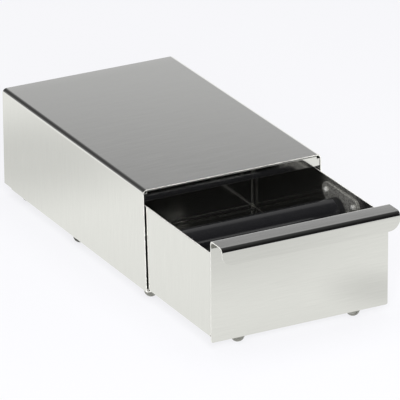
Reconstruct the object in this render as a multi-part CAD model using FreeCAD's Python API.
import FreeCAD, Part
import math
import os

# Knock box drawer: a folded sheet housing and a drawer with a knock bar, in millimetres.
# +Z is up and the drawer comes out towards -Y. It is drawn pulled out, as it is shown.
# The origin is on the table, at the middle of the whole object's outline.

V = FreeCAD.Vector

# Housing
housing_width = 170.0
housing_depth = 272.0
housing_height = 91.5        # from the lower edge of the sides to the top deck
sheet = 1.0                  # steel sheet of every folded piece
top_bend = 4.0               # outside radius of the two long top edges
base_bend = 2.0              # outside radius where the sides turn in underneath
base_flange = 19.0           # width of the turned-in flange under each side
front_rake = 4.0             # the front edges lean back by this much, from bottom to top
lip_drop = 10.4              # from the top deck to the lower edge of the front crossbar
lip_setback = 0.4            # the crossbar's face stands this far inside the cover's front edge
lip_bend = 1.8               # outside radius where the crossbar turns in under the deck
crossbar_flange = 14.0       # width of its flange under the deck
edge_gap = 0.2               # gap beside the ends of a flange that isn't welded there
rear_notch_length = 14.0     # relief cut in the lower rear corners
rear_notch_height = 2.3
back_inset = 0.5             # the back panel stands this far inside the rear edges
back_flange = 12.0
back_bend = 2.0

# Feet
foot_drop = 9.0              # height of the housing's lower edge above the table
foot_diameter = 12.0
foot_flat = 0.5              # how much the dome is cut flat at its tip
front_foot_setback = 12.0    # foot centres, back from the front edge
middle_foot_setback = 145.0
rear_foot_setback = 22.0     # forward from the rear edge
side_foot_inset = 11.0       # foot centres, in from the side face
rear_foot_inset = 13.0
drawer_foot_inset = 28.6     # in from the drawer's walls
drawer_foot_setback = 8.1    # behind the front face of the drawer's panel
table_gap = 0.3              # the drawer's feet clear the table by this much

# Drawer
open_out = 113.0             # how far the panel's front face stands out as drawn
drawer_length = 233.0        # from the panel's front face to the rear of the drawer
wall_clearance = 3.9         # the drawer's walls stop this far below the crossbar
side_gap = 0.9               # drawer wall to housing wall, each side
tray_bend = 2.5              # outside radius along the drawer's lower edges
front_flange = 12.0          # turned-in flanges that the front panel is welded to
back_side_flange = 6.6       # flanges of the drawer's rear wall
back_floor_flange = 8.0
closed_gap = 0.3             # panel to housing when shut

# Front panel and handle
panel_overhang = 0.1         # how far the panel stands past the drawer's walls, each side
panel_below = 2.0            # how far the panel reaches below the housing's lower edge
panel_top_drop = 2.7         # top of the handle below the top deck
handle_reach = 19.6          # from the panel's front face to the front of the handle
handle_lip = 16.0            # height of the lip that hangs down in front
handle_back_bend = 3.0       # outside radius at the top of the panel
handle_front_bend = 5.0      # outside radius at the front of the handle
handle_corner = 10.0         # rounding of the lip's lower corners
panel_corner = 1.5

# Sliding and stops
glide_thickness = 0.6
glide_width = 14.0
glide_margin = 2.0           # glide strips stop this far from the ends of the flange
run_gap = 0.2                # drawer's underside above the glide strips
rail_leg = 10.0              # tilt rails: the leg over the drawer wall
rail_rise = 7.5              # and the leg against the housing wall
rail_gap = 2.4               # between the drawer wall and the rail
rail_bend = 1.6
rail_setback = 3.0           # behind the front edge of the deck
ear_width = 18.0             # stop ears on the drawer's rear wall
ear_height = 6.6
ear_inset = 29.1             # ear centres, in from the drawer's walls

# Knock bar
bar_diameter = 26.0
core_diameter = 16.0
core_wall = 2.0
bar_setback = 77.5           # bar axis behind the panel's front face
bar_drop = 23.4              # bar axis below the top of the drawer's walls
collar_length = 6.5
collar_round = 2.0
bore_gap = 0.1               # radial gap of sleeve and collars on the tube, tube on spigot
end_gap = 0.1                # tube end to bracket
bracket_sheet = 1.5
bracket_lobe = 6.5           # radius of the bracket round each stud
bracket_disc = 14.5          # radius of the bracket behind the bar
spigot_length = 10.0
stud_spacing = 46.4
stud_rise = 12.0             # studs above the bar axis
stud_diameter = 3.0
stud_hole_gap = 0.15
stud_past_plate = 1.6
cap_diameter = 5.0           # round cap nuts on the studs
cap_wall_height = 1.2        # straight part of the cap
cap_dome_height = 1.2

# Drawing aid: how far a cutter reaches past what it cuts
over = 1.0

# Places worked out from the sizes
front_y = (open_out + handle_reach - housing_depth) / 2
rear_y = front_y + housing_depth
deck_front_y = front_y + front_rake
base_z = foot_drop
deck_z = base_z + housing_height
inner_x = housing_width / 2 - sheet
drawer_x = inner_x - side_gap
flange_x = housing_width / 2 - base_flange
glide_top = base_z + sheet + glide_thickness
drawer_z = glide_top + run_gap
floor_z = drawer_z + sheet
wall_top = deck_z - lip_drop - wall_clearance
panel_y = front_y - open_out
drawer_rear = panel_y + drawer_length
panel_z = base_z - panel_below
handle_z = deck_z - panel_top_drop
rail_z = wall_top + rail_gap
bar_y = panel_y + bar_setback
bar_z = wall_top - bar_drop
bracket_x = drawer_x - sheet - bracket_sheet
travel_in = open_out - sheet - closed_gap
travel_out = (drawer_rear - sheet) - (deck_front_y + lip_setback + sheet) - closed_gap


def block(x0, x1, y0, y1, z0, z1):
    """A box between two corners."""
    return Part.makeBox(x1 - x0, y1 - y0, z1 - z0, V(x0, y0, z0))


def rod(radius, start, direction, length):
    return Part.makeCylinder(radius, length, start, direction)


def joined(shapes):
    """Several overlapping or touching solids as one."""
    body = shapes[0].fuse(shapes[1:]) if len(shapes) > 1 else shapes[0]
    return body.removeSplitter()


def fold(corners, radii, side, plane, low, high):
    """A folded sheet, drawn out from low to high along the axis across its section's plane.

    corners is the outside line of the fold in that plane, radii the outside radius of its bends
    (one for all of them, or a list), and side is +1 where the sheet lies to the left of the line,
    -1 to the right.
    """
    if not isinstance(radii, list):
        radii = [radii] * (len(corners) - 2)
    first, second, across = {
        "xz": (V(1, 0, 0), V(0, 0, 1), V(0, 1, 0)),
        "yz": (V(0, 1, 0), V(0, 0, 1), V(1, 0, 0)),
        "xy": (V(1, 0, 0), V(0, 1, 0), V(0, 0, 1)),
    }[plane]
    outline = [V(a, b, 0) for a, b in corners]
    ways = [(there - here).normalize() for here, there in zip(outline, outline[1:])]
    normals = [V(-way.y, way.x, 0) * side for way in ways]

    def put(point):
        return first * point.x + second * point.y + across * low

    def face_line(depth):
        """One face of the sheet, depth below its outside: its edges, its start and its end."""
        edges = []
        begin = here = outline[0] + normals[0] * depth
        for i in range(1, len(outline) - 1):
            radius = radii[i - 1]
            turn = math.acos(ways[i - 1].dot(ways[i]))
            setback = radius * math.tan(turn / 2)
            start = outline[i] - ways[i - 1] * setback + normals[i - 1] * depth
            end = outline[i] + ways[i] * setback + normals[i] * depth
            centre = outline[i] - ways[i - 1] * setback + normals[i - 1] * radius
            outwards = ((start - centre) + (end - centre)).normalize()
            middle = centre + outwards * (radius - depth)
            edges.append(Part.LineSegment(put(here), put(start)).toShape())
            edges.append(Part.Arc(put(start), put(middle), put(end)).toShape())
            here = end
        finish = outline[-1] + normals[-1] * depth
        edges.append(Part.LineSegment(put(here), put(finish)).toShape())
        return edges, put(begin), put(finish)

    outside, outside_begin, outside_finish = face_line(0.0)
    inside, inside_begin, inside_finish = face_line(sheet)
    ends = [
        Part.LineSegment(outside_finish, inside_finish).toShape(),
        Part.LineSegment(inside_begin, outside_begin).toShape(),
    ]
    section = Part.Face(Part.Wire(Part.__sortEdges__(outside + inside + ends)))
    return section.extrude(across * (high - low))


def rounded_corner_cutter(x, z, radius, sx, y0, y1):
    """What has to go to round a plate's lower corner at (x, z); sx is the corner's side."""
    cx = x - sx * radius
    cz = z + radius
    square = block(min(cx, x + sx * over), max(cx, x + sx * over), y0, y1, z - over, cz)
    return square.cut(rod(radius, V(cx, y0, cz), V(0, 1, 0), y1 - y0))


def housing_cover():
    """Top, sides and bottom flanges: four bends, and front edges that lean back to the deck."""
    half = housing_width / 2
    mid_z = (base_z + deck_z) / 2
    body = joined([
        fold([(-half, mid_z), (-half, deck_z), (half, deck_z), (half, mid_z)],
             top_bend, -1, "xz", front_y, rear_y),
        fold([(-flange_x, base_z), (-half, base_z), (-half, mid_z)],
             base_bend, -1, "xz", front_y, rear_y),
        fold([(half, mid_z), (half, base_z), (flange_x, base_z)],
             base_bend, -1, "xz", front_y, rear_y),
    ])
    notch = block(-half - over, half + over, rear_y - rear_notch_length, rear_y + over,
                  base_z - over, base_z + rear_notch_height)
    ahead = front_y - over
    lean = [(ahead, base_z + base_bend), (front_y, base_z + base_bend),
            (deck_front_y, deck_z - top_bend), (deck_front_y, deck_z + over), (ahead, deck_z + over)]
    corners = [V(-half - over, y, z) for y, z in lean]
    wedge = Part.Face(Part.makePolygon(corners + corners[:1])).extrude(V(2 * (half + over), 0, 0))
    return body.cut([notch, wedge])


def front_crossbar():
    """An angle welded under the deck; its face closes the gap above the drawer."""
    face_y = deck_front_y + lip_setback
    under_deck = deck_z - sheet
    low = deck_z - lip_drop
    straight = inner_x - top_bend + sheet
    wing_x = inner_x - edge_gap
    angle = fold(
        [(face_y + crossbar_flange, under_deck), (face_y, under_deck), (face_y, low)],
        lip_bend, 1, "yz", -straight, straight,
    )
    wings = block(-wing_x, wing_x, face_y, face_y + sheet, low, deck_z - top_bend)
    return joined([angle, wings])


def back_panel():
    """A pan: its plate closes the rear, its flanges point forward and are spot welded."""
    plate_y = rear_y - back_inset
    low = base_z + rear_notch_height
    high = deck_z - sheet
    corner = top_bend
    upright = fold(
        [(plate_y - back_flange, low), (plate_y, low), (plate_y, high), (plate_y - back_flange, high)],
        back_bend, 1, "yz", -(inner_x - corner), inner_x - corner,
    )
    across = fold(
        [(-inner_x, plate_y - back_flange), (-inner_x, plate_y), (inner_x, plate_y),
         (inner_x, plate_y - back_flange)],
        back_bend, -1, "xy", low + corner, high - corner,
    )
    return joined([upright, across])


def glide_strip(side):
    outer = inner_x - base_bend + sheet - edge_gap
    x0, x1 = sorted((side * outer, side * (outer - glide_width)))
    return block(x0, x1, front_y + glide_margin, rear_y - rear_notch_length - glide_margin,
                 base_z + sheet, glide_top)


def tilt_rail(side):
    corners = [
        (side * (inner_x - rail_leg), rail_z), (side * inner_x, rail_z),
        (side * inner_x, rail_z + rail_rise),
    ]
    return fold(corners, rail_bend, side, "xz",
                deck_front_y + rail_setback, rear_y - rear_notch_length)


def foot(x, y, top, tip):
    """A domed bumper: a short post that runs into a ball end, cut flat where it stands."""
    radius = foot_diameter / 2
    centre_z = tip - foot_flat + radius
    post = rod(radius, V(x, y, centre_z), V(0, 0, 1), top - centre_z)
    ball = Part.makeSphere(radius, V(x, y, centre_z))
    reach = radius + over
    keep = block(x - reach, x + reach, y - reach, y + reach, tip, top)
    return post.fuse(ball).common(keep).removeSplitter()


def drawer_tray():
    """Bottom and side walls from one sheet, with flanges turned in at the front.

    The side flanges run down to the lower bend; the bottom one fits between them.
    """
    seat_y = panel_y + sheet
    start_y = seat_y + tray_bend
    trough = fold(
        [(-drawer_x, wall_top), (-drawer_x, drawer_z), (drawer_x, drawer_z), (drawer_x, wall_top)],
        tray_bend, 1, "xz", start_y, drawer_rear,
    )
    shapes = [trough]
    flange_low = drawer_z + tray_bend
    flange_high = wall_top
    for side in (-1, 1):
        shapes.append(fold(
            [(side * drawer_x, start_y + over), (side * drawer_x, seat_y),
             (side * (drawer_x - front_flange), seat_y)],
            tray_bend, -side, "xy", flange_low, flange_high,
        ))
    width = drawer_x - front_flange - edge_gap
    shapes.append(fold(
        [(start_y + over, drawer_z), (seat_y, drawer_z), (seat_y, drawer_z + front_flange)],
        tray_bend, -1, "yz", -width, width,
    ))
    return joined(shapes)


def drawer_back():
    """Rear wall between the tray's sides, with flanges forward and two ears that stop the drawer."""
    half = drawer_x - sheet
    wall = fold(
        [(-half, drawer_rear - back_side_flange - sheet), (-half, drawer_rear), (half, drawer_rear),
         (half, drawer_rear - back_side_flange - sheet)],
        back_bend, -1, "xy", floor_z + tray_bend, wall_top,
    )
    width = half - back_bend - edge_gap
    skirt = fold(
        [(drawer_rear - back_floor_flange, floor_z), (drawer_rear, floor_z),
         (drawer_rear, floor_z + front_flange)],
        back_bend, 1, "yz", -width, width,
    )
    ears = []
    for side in (-1, 1):
        ear_x = side * (drawer_x - ear_inset)
        ears.append(block(ear_x - ear_width / 2, ear_x + ear_width / 2, drawer_rear - sheet,
                          drawer_rear, wall_top - over, wall_top + ear_height))
    return joined([wall, skirt] + ears)


def drawer_front():
    """Front panel that runs on into the handle: over the top, forward, and down as a lip."""
    back_face = panel_y + sheet
    nose = panel_y - handle_reach
    lip_z = handle_z - handle_lip
    half = drawer_x + panel_overhang
    body = fold(
        [(back_face, panel_z), (back_face, handle_z), (nose, handle_z), (nose, lip_z)],
        [handle_back_bend, handle_front_bend], 1, "yz", -half, half,
    )
    cuts = []
    for side in (-1, 1):
        cuts.append(rounded_corner_cutter(side * half, lip_z, handle_corner, side,
                                          nose - over, nose + sheet + over))
        cuts.append(rounded_corner_cutter(side * half, panel_z, panel_corner, side,
                                          panel_y - over, back_face + over))
    return body.cut(cuts)


def bar_core():
    """Steel tube of the knock bar."""
    half = bracket_x - end_gap
    start = V(-half, bar_y, bar_z)
    outside = rod(core_diameter / 2, start, V(1, 0, 0), 2 * half)
    return outside.cut(rod(core_diameter / 2 - core_wall, start, V(1, 0, 0), 2 * half))


def bar_sleeve():
    half = bracket_x - end_gap - collar_length
    start = V(-half, bar_y, bar_z)
    outside = rod(bar_diameter / 2, start, V(1, 0, 0), 2 * half)
    return outside.cut(rod(core_diameter / 2 + bore_gap, start, V(1, 0, 0), 2 * half))


def bar_collar(side):
    """Rubber collar between the sleeve and the bracket, rounded where it meets the bracket."""
    near = bracket_x - end_gap
    start = V(side * near, bar_y, bar_z)
    inwards = V(-side, 0, 0)
    ring = rod(bar_diameter / 2, start, inwards, collar_length)
    rims = [e for e in ring.Edges
            if abs(e.BoundBox.XMin - side * near) < 0.01 and abs(e.BoundBox.XMax - side * near) < 0.01]
    ring = ring.makeFillet(collar_round, rims[:1])
    return ring.cut(rod(core_diameter / 2 + bore_gap, start, inwards, collar_length))


def stud_places():
    return [(bar_y + way * stud_spacing / 2, bar_z + stud_rise) for way in (-1, 1)]


def bar_bracket(side):
    """A plate on the drawer's wall, held by two studs, with a spigot that carries the tube."""
    wall = side * (drawer_x - sheet)
    inwards = V(-side, 0, 0)
    discs = [(bar_y, bar_z, bracket_disc)] + [(y, z, bracket_lobe) for y, z in stud_places()]
    plate = joined([tangent_plate(a, b, wall, side) for a, b in
                    ((discs[0], discs[1]), (discs[0], discs[2]), (discs[1], discs[2]))])
    spigot_radius = core_diameter / 2 - core_wall - bore_gap
    spigot = rod(spigot_radius, V(wall, bar_y, bar_z), inwards, bracket_sheet + spigot_length)
    holes = [rod(stud_diameter / 2 + stud_hole_gap, V(wall + side * over, y, z), inwards,
                 bracket_sheet + 2 * over)
             for y, z in stud_places()]
    return joined([plate, spigot]).cut(holes)


def tangent_plate(first, second, wall, side):
    """Two discs and the straight-sided plate that touches both, flat on the wall."""
    (y0, z0, r0), (y1, z1, r1) = first, second
    inwards = V(-side, 0, 0)
    way = V(0, y1 - y0, z1 - z0)
    apart = way.Length
    lean = math.asin((r0 - r1) / apart)
    heading = math.atan2(z1 - z0, y1 - y0)
    points = []
    for y, z, r, turn in ((y0, z0, r0, 1), (y1, z1, r1, 1), (y1, z1, r1, -1), (y0, z0, r0, -1)):
        angle = heading + turn * (math.pi / 2 - lean)
        points.append(V(wall, y + r * math.cos(angle), z + r * math.sin(angle)))
    web = Part.Face(Part.makePolygon(points + points[:1])).extrude(inwards * bracket_sheet)
    ends = [rod(r, V(wall, y, z), inwards, bracket_sheet) for y, z, r in (first, second)]
    return web.fuse(ends)


def bracket_studs(side):
    wall = side * (drawer_x - sheet)
    length = bracket_sheet + stud_past_plate
    return Part.makeCompound([
        rod(stud_diameter / 2, V(wall, y, z), V(-side, 0, 0), length) for y, z in stud_places()
    ])


def bracket_nuts(side):
    """Round cap nuts on the studs: a short straight wall that ends in a low dome."""
    seat = side * bracket_x
    inwards = V(-side, 0, 0)
    radius = cap_diameter / 2
    height = cap_wall_height + cap_dome_height
    dome_radius = (radius ** 2 + cap_dome_height ** 2) / (2 * cap_dome_height)
    nuts = []
    for y, z in stud_places():
        blank = rod(radius, V(seat, y, z), inwards, height)
        dome = Part.makeSphere(dome_radius, V(seat - side * (height - dome_radius), y, z))
        hole = rod(stud_diameter / 2, V(seat, y, z), inwards, stud_past_plate)
        nuts.append(blank.common(dome).cut(hole))
    return Part.makeCompound(nuts)


def save(name, shape):
    shape.exportStep("parts/" + name + ".step")
    box = shape.BoundBox
    print("%-22s solids %d  volume %9.1f  x %.1f..%.1f  y %.1f..%.1f  z %.1f..%.1f  valid %s" % (
        name, len(shape.Solids), shape.Volume, box.XMin, box.XMax, box.YMin, box.YMax,
        box.ZMin, box.ZMax, shape.isValid()))


def main():
    os.makedirs("parts", exist_ok=True)
    save("housing_cover", housing_cover())
    save("front_crossbar", front_crossbar())
    save("back_panel", back_panel())
    save("drawer_tray", drawer_tray())
    save("drawer_back", drawer_back())
    save("drawer_front", drawer_front())
    save("bar_core", bar_core())
    save("bar_sleeve", bar_sleeve())
    for name, side in (("left", -1), ("right", 1)):
        save("glide_strip_" + name, glide_strip(side))
        save("tilt_rail_" + name, tilt_rail(side))
        save("bar_collar_" + name, bar_collar(side))
        save("bar_bracket_" + name, bar_bracket(side))
        save("bracket_studs_" + name, bracket_studs(side))
        save("bracket_nuts_" + name, bracket_nuts(side))
        edge = side * (housing_width / 2 - side_foot_inset)
        save("foot_front_" + name, foot(edge, front_y + front_foot_setback, base_z, 0.0))
        save("foot_middle_" + name, foot(edge, front_y + middle_foot_setback, base_z, 0.0))
        rear_x = side * (housing_width / 2 - rear_foot_inset)
        save("foot_rear_" + name, foot(rear_x, rear_y - rear_foot_setback, base_z, 0.0))
        save("drawer_foot_" + name, foot(side * (drawer_x - drawer_foot_inset),
                                         panel_y + drawer_foot_setback, drawer_z, table_gap))
    print("drawer slides in %.1f mm and out %.1f mm" % (travel_in, travel_out))


main()
